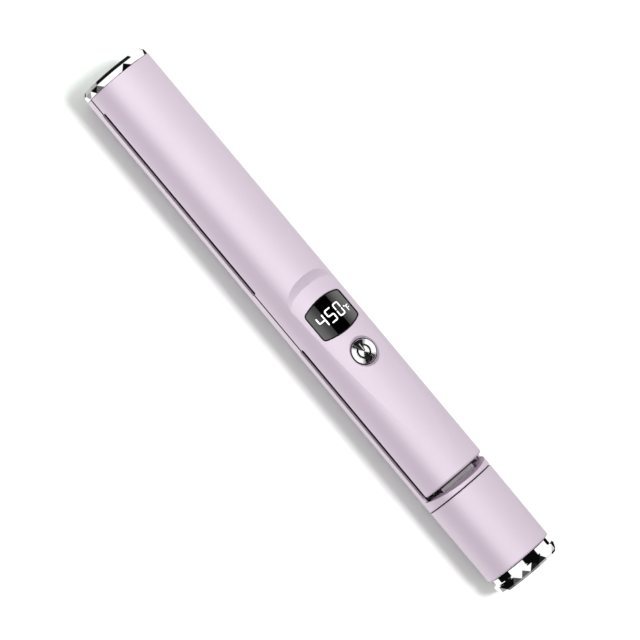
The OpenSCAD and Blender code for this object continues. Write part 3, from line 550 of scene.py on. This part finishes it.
finishes = {
    "pink_shell": pink_shell(),
    "dark_plastic": moulded("dark_moulding", BLACK_PLASTIC_AND_SHADE, 0.45, 0.65),
    "grey_plastic": grey_moulding(),
    "chrome_trim": chrome(),
    "button_metal": turned_metal(),
    "steel": brushed_steel(),
    "plate_coating": plate_coating(),
    "heater_ceramic": plain_ceramic(),
    "silicone": silicone(),
    "gland_rubber": moulded("gland_rubber", (0.022, 0.021, 0.023), 0.6, 0.8),
    "display_black": gloss_black(),
    "board_green": solder_mask(),
}

for piece in frame["record"]["subparts"]:
    node = frame["nodes"][piece["node"]]
    for place in node.material_slots:
        place.material = finishes[piece["material_slot"]]

# Marks of the display and the button, and black rings of painted shade in the gaps around them

# Glyphs are drawn in millimetres: u goes across a digit, v up it, and the origin is its middle.
# Up goes towards the tip, so u follows +Y and v follows -X.

LENS_R = 18.4
LENS_X = 0.9
LENS_TOP = 36.143
LENS_TILT = math.atan(1.4 / 106)
MARK_RAISE = 0.03
MARK_ROOT = -0.02


def on_lens(x, arc, raise_by):
    """A point of the lens, from its place along the body and along its round, in millimetres."""
    turned = arc / LENS_R
    radius = LENS_R + raise_by
    axis_z = LENS_TOP + (x - LENS_X) * math.tan(LENS_TILT) - LENS_R
    return Vector((x, radius * math.sin(turned), axis_z + radius * math.cos(turned))) * MM


def round_corners(points, radius, steps=4):
    """The open path with each inner corner turned through an arc."""
    made = [Vector(points[0])]
    for before, corner, after in zip(points, points[1:], points[2:]):
        corner = Vector(corner)
        into = (corner - Vector(before)).normalized()
        away = (Vector(after) - corner).normalized()
        start, end = corner - into * radius, corner + away * radius
        for step in range(steps + 1):
            t = step / steps
            made.append(start * (1 - t) ** 2 + corner * 2 * t * (1 - t) + end * t ** 2)
    made.append(Vector(points[-1]))
    return made


def cut_up(points, longest):
    """The path with no piece longer than the given length."""
    made = [points[0]]
    for first, second in zip(points, points[1:]):
        count = max(1, math.ceil((second - first).length / longest))
        made += [first.lerp(second, (i + 1) / count) for i in range(count)]
    return made


def stroke_outline(points, width, end_steps=6):
    """Left side, round end, right side and round start of a stroke along the path."""
    count = len(points)
    sides = []
    for i in range(count):
        into = (points[i] - points[i - 1]).normalized() if i > 0 else None
        away = (points[i + 1] - points[i]).normalized() if i < count - 1 else None
        way = into if away is None else away if into is None else (into + away).normalized()
        grow = 1 / max(0.5, way.dot(away if away is not None else into))
        sides.append(Vector((-way.y, way.x)) * (width / 2 * grow))
    left = [p + s for p, s in zip(points, sides)]
    right_side = [p - s for p, s in zip(points, sides)]

    def end(centre, side, sense):
        made = []
        for i in range(1, end_steps):
            a = math.pi * i / end_steps * sense
            c, s = math.cos(a), math.sin(a)
            made.append(centre + Vector((side.x * c - side.y * s, side.x * s + side.y * c)))
        return made

    return left, end(points[-1], sides[-1], -1), right_side, end(points[0], -sides[0], -1)


def add_stroke(mesh, points, width, place, raise_by=0.0):
    """A closed thin solid along the path; place maps (u, v, height) to a point."""
    left, far_end, right_side, near_end = stroke_outline(points, width)
    top, low = {}, {}

    def corner(kind, index, point):
        for level, height in ((top, MARK_RAISE + raise_by), (low, MARK_ROOT)):
            level[kind, index] = mesh.verts.new(place(point.x, point.y, height))

    for i, point in enumerate(left):
        corner("left", i, point)
    for i, point in enumerate(right_side):
        corner("right", i, point)
    for i, point in enumerate(far_end):
        corner("far", i, point)
    for i, point in enumerate(near_end):
        corner("near", i, point)
    last = len(left) - 1
    ring = [("left", i) for i in range(last + 1)] + [("far", i) for i in range(len(far_end))]
    ring += [("right", i) for i in range(last, -1, -1)] + [("near", i) for i in range(len(near_end))]
    for i in range(last):
        quad = [("left", i), ("left", i + 1), ("right", i + 1), ("right", i)]
        mesh.faces.new([top[k] for k in quad])
        mesh.faces.new([low[k] for k in reversed(quad)])
    for loop in (
        [("left", last)] + [("far", i) for i in range(len(far_end))] + [("right", last)],
        [("right", 0)] + [("near", i) for i in range(len(near_end))] + [("left", 0)],
    ):
        mesh.faces.new([top[k] for k in loop])
        mesh.faces.new([low[k] for k in reversed(loop)])
    for first, second in zip(ring, ring[1:] + ring[:1]):
        mesh.faces.new([top[first], top[second], low[second], low[first]])


def finish_mesh(name, mesh, finish, body):
    bmesh.ops.recalc_face_normals(mesh, faces=mesh.faces)
    data = bpy.data.meshes.new(name)
    mesh.to_mesh(data)
    mesh.free()
    data.materials.append(finish)
    made = bpy.data.objects.new(name, data)
    scene.collection.objects.link(made)
    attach(made, body)
    return made


lit_digit, tree, shader = material("lit_digit", (0.9, 0.9, 0.9), 0.4)
shader.inputs["Emission Color"].default_value = (1, 1, 1, 1)
shader.inputs["Emission Strength"].default_value = 0.9
vary_colour(tree, shader, (0.9, 0.9, 0.9), 0.0006, 0.94, 1.04)

HALF_W = 1.5
WIDE_HALF_W = 1.6
HALF_H = 3.2
FOUR_TOP = 2.65
FOUR_END = -2.78
STROKE = 0.64
FINE_STROKE = 0.42
TURN_R = 0.7
GAP = 0.54
DIGIT_STEP = 5.14
DIGITS_ARC = -1.36
DIGITS_X = 0.71
DEGREE_PLACE = (1.16, 7.0)
DEGREE_SIZE = 0.6
UNIT_STEM_ARC = 8.1
UNIT_TOP_X = 1.56
UNIT_MIDDLE_X = 2.8
UNIT_END_X = 4.1
UNIT_ARCS = (7.5, 9.6)

four = [
    [(-WIDE_HALF_W, FOUR_TOP), (-WIDE_HALF_W, 0), (WIDE_HALF_W, 0)],
    [(WIDE_HALF_W, FOUR_TOP), (WIDE_HALF_W, FOUR_END)],
]
five = [
    [(HALF_W, HALF_H), (-HALF_W, HALF_H), (-HALF_W, 0), (HALF_W, 0), (HALF_W, -HALF_H), (-HALF_W, -HALF_H)],
]
zero = [
    [(-HALF_W, GAP), (-HALF_W, HALF_H), (HALF_W, HALF_H), (HALF_W, GAP)],
    [(-HALF_W, -GAP), (-HALF_W, -HALF_H), (HALF_W, -HALF_H), (HALF_W, -GAP)],
]
letter_f = [
    [(UNIT_ARCS[0], -UNIT_TOP_X), (UNIT_ARCS[1], -UNIT_TOP_X)],
    [(UNIT_STEM_ARC, -UNIT_TOP_X), (UNIT_STEM_ARC, -UNIT_END_X)],
]
letter_f_middle = [[(UNIT_STEM_ARC, -UNIT_MIDDLE_X), (UNIT_ARCS[1], -UNIT_MIDDLE_X)]]
degree = [[(0, 0.06), (0.0, -0.06)]]


def glyph(name, paths, middle_x, middle_arc, width, turn_r):
    mesh = bmesh.new()

    def place(u, v, height):
        return on_lens(middle_x - v, middle_arc + u, height)

    for path in paths:
        points = [Vector(p) for p in path] if len(path) == 2 else round_corners(path, turn_r)
        add_stroke(mesh, cut_up(points, 0.5), width, place)
    return finish_mesh(name, mesh, lit_digit, "upper_arm")


glyph("digit_four", four, DIGITS_X, DIGITS_ARC - DIGIT_STEP, STROKE, TURN_R)
glyph("digit_five", five, DIGITS_X, DIGITS_ARC, STROKE, TURN_R)
glyph("digit_zero", zero, DIGITS_X, DIGITS_ARC + DIGIT_STEP, STROKE, TURN_R)
glyph("degree_sign", degree, *DEGREE_PLACE, DEGREE_SIZE, 0.2)
glyph("unit_letter", letter_f, 0, 0, FINE_STROKE, 0.2)
glyph("unit_letter_bar", letter_f_middle, 0, 0, FINE_STROKE * 0.7, 0.2)


def add_loops(mesh, loops, closed=True):
    """A skin through loops of as many points each, closed into a ring or open at both ends."""
    rows = [[mesh.verts.new(p) for p in loop] for loop in loops]
    for first, second in zip(rows, rows[1:] + rows[:1] if closed else rows[1:]):
        for i in range(len(first)):
            j = (i + 1) % len(first)
            mesh.faces.new((first[i], first[j], second[j], second[i]))
    return rows


def arc_points(x, y, radius, start, end, count):
    made = []
    for i in range(count + 1):
        a = start + (end - start) * i / count
        made.append((x + radius * math.cos(a), y + radius * math.sin(a)))
    return made


WINDOW_L = 19.1
WINDOW_W = 22
WINDOW_BOW_R = 28.6
WINDOW_CORNER_R = 2


def window_outline(grow):
    """The window's outline in (x, y) from its middle, grown by a margin, in millimetres."""
    bow, corner = WINDOW_BOW_R + grow, WINDOW_CORNER_R + grow
    half_x, half_y = WINDOW_L / 2 + grow, WINDOW_W / 2 + grow
    cy = half_y - corner
    cx = math.sqrt((bow - corner) ** 2 - cy * cy) - (bow - half_x)
    lean = math.asin(cy / (bow - corner))
    quarter = math.pi / 2
    return (
        arc_points(half_x - bow, 0, bow, -lean, lean, 16)
        + arc_points(cx, cy, corner, lean, quarter, 8)
        + arc_points(-cx, cy, corner, quarter, 2 * quarter - lean, 8)
        + arc_points(bow - half_x, 0, bow, 2 * quarter - lean, 2 * quarter + lean, 16)
        + arc_points(-cx, -cy, corner, 2 * quarter + lean, 3 * quarter, 8)
        + arc_points(cx, -cy, corner, 3 * quarter, 4 * quarter - lean, 8)
    )


# A black ring of painted shade, set in the gap round the window and over the lens's edge, where that gap is
# shaded.
shade_ring_black = moulded("shade_ring_black", (0.008, 0.007, 0.008), 0.6, 0.8, ior=1.15)
WINDOW_SHADE_RING = [
    (-0.5, 0.02), (0.1, 0.03), (0.17, 0), (0.17, -0.25), (0.03, -0.25), (0.03, -0.02), (-0.5, -0.02),
]

mesh = bmesh.new()
loops = []
for grow, height in WINDOW_SHADE_RING:
    outline = window_outline(grow)
    loops.append([on_lens(LENS_X + x, LENS_R * math.asin(y / LENS_R), height) for x, y in outline])
add_loops(mesh, loops)
finish_mesh("window_shade_ring", mesh, shade_ring_black, "upper_arm")

ink, tree, shader = material("mark_ink", (0.004, 0.004, 0.004), 0.6, ior=1.15)
vary_colour(tree, shader, (0.004, 0.004, 0.004), 0.001, 0.8, 1.2)

SYMBOL_R = 3.05
SYMBOL_W = 0.85
SYMBOL_OPEN = math.radians(40)
BUTTON_SEAT = 34.985
PLATE_TOP = 0.45


def on_seat(u, v, height):
    """A point over the button's seat, in millimetres across, towards the tip and up."""
    return Vector((BUTTON_X / MM - v, u, BUTTON_SEAT + height)) * MM


def on_button(u, v, height):
    return on_seat(u, v, PLATE_TOP + height)


mesh = bmesh.new()
steps = 60
arc_path = []
for i in range(steps + 1):
    a = SYMBOL_OPEN + (2 * math.pi - 2 * SYMBOL_OPEN) * i / steps
    arc_path.append(Vector((SYMBOL_R * math.sin(a), SYMBOL_R * math.cos(a))))
add_stroke(mesh, arc_path, SYMBOL_W, on_button)
finish_mesh("power_ring_mark", mesh, ink, "button")

BAR_U = 0.33
BAR_W = 1.25
BAR_ENDS = (-0.1, 5.2)
LINE_U = 0.38
LINE_W = 0.36
LINE_ENDS = (0.6, 4.05)


def bar_path(u, width, ends):
    return cut_up([Vector((u, ends[0] + width / 2)), Vector((u, ends[1] - width / 2))], 0.5)


mesh = bmesh.new()
add_stroke(mesh, bar_path(BAR_U, BAR_W, BAR_ENDS), BAR_W, on_button)
finish_mesh("power_bar_mark", mesh, ink, "button")

# A painted highlight: a white line laid along the black bar, standing for its lit edge.
bar_highlight, tree, shader = material("bar_painted_highlight", (0.85, 0.85, 0.85), 0.35)
vary_colour(tree, shader, (0.85, 0.85, 0.85), 0.001, 0.95, 1.03)
mesh = bmesh.new()
add_stroke(mesh, bar_path(LINE_U, LINE_W, LINE_ENDS), LINE_W, on_button, 0.02)
finish_mesh("power_bar_highlight", mesh, bar_highlight, "button")

TURNED_STEPS = 120


def add_turned(name, profile, finish, body, hub=None):
    """A turned piece about the button's middle, from (radius, height) points, with a flat hub if asked."""
    mesh = bmesh.new()
    loops = []
    for radius, height in profile:
        turns = [2 * math.pi * i / TURNED_STEPS for i in range(TURNED_STEPS)]
        loops.append([on_seat(radius * math.cos(a), radius * math.sin(a), height) for a in turns])
    rows = add_loops(mesh, loops, closed=hub is None)
    if hub is not None:
        for row, height in zip((rows[0], rows[-1]), hub):
            middle = mesh.verts.new(on_seat(0, 0, height))
            for i in range(len(row)):
                mesh.faces.new((row[i], row[(i + 1) % len(row)], middle))
    return finish_mesh(name, mesh, finish, body)


# The button's turned plate stands on its cap, in a dark skirt, with a dark ring around it: skirt and ring are
# painted shade, black pieces set in the shaded gap around the button.
PLATE = [(5.9, 0.02), (5.95, 0.06), (5.95, PLATE_TOP - 0.06), (5.89, PLATE_TOP)]
SHADE_SKIRT = [(5.96, 0.0), (5.96, 0.38), (6.0, 0.4), (6.06, 0.36), (6.06, 0.0)]
BUTTON_SHADE_RING = [(6.16, 0.03), (6.44, 0.06), (6.52, 0.0), (6.33, 0.0), (6.29, -0.2), (6.16, -0.2)]

add_turned("button_plate", PLATE, finishes["button_metal"], "button", hub=(0.02, PLATE_TOP))
add_turned("button_shade_skirt", SHADE_SKIRT, shade_ring_black, "button")
add_turned("button_shade_ring", BUTTON_SHADE_RING, shade_ring_black, "upper_arm")
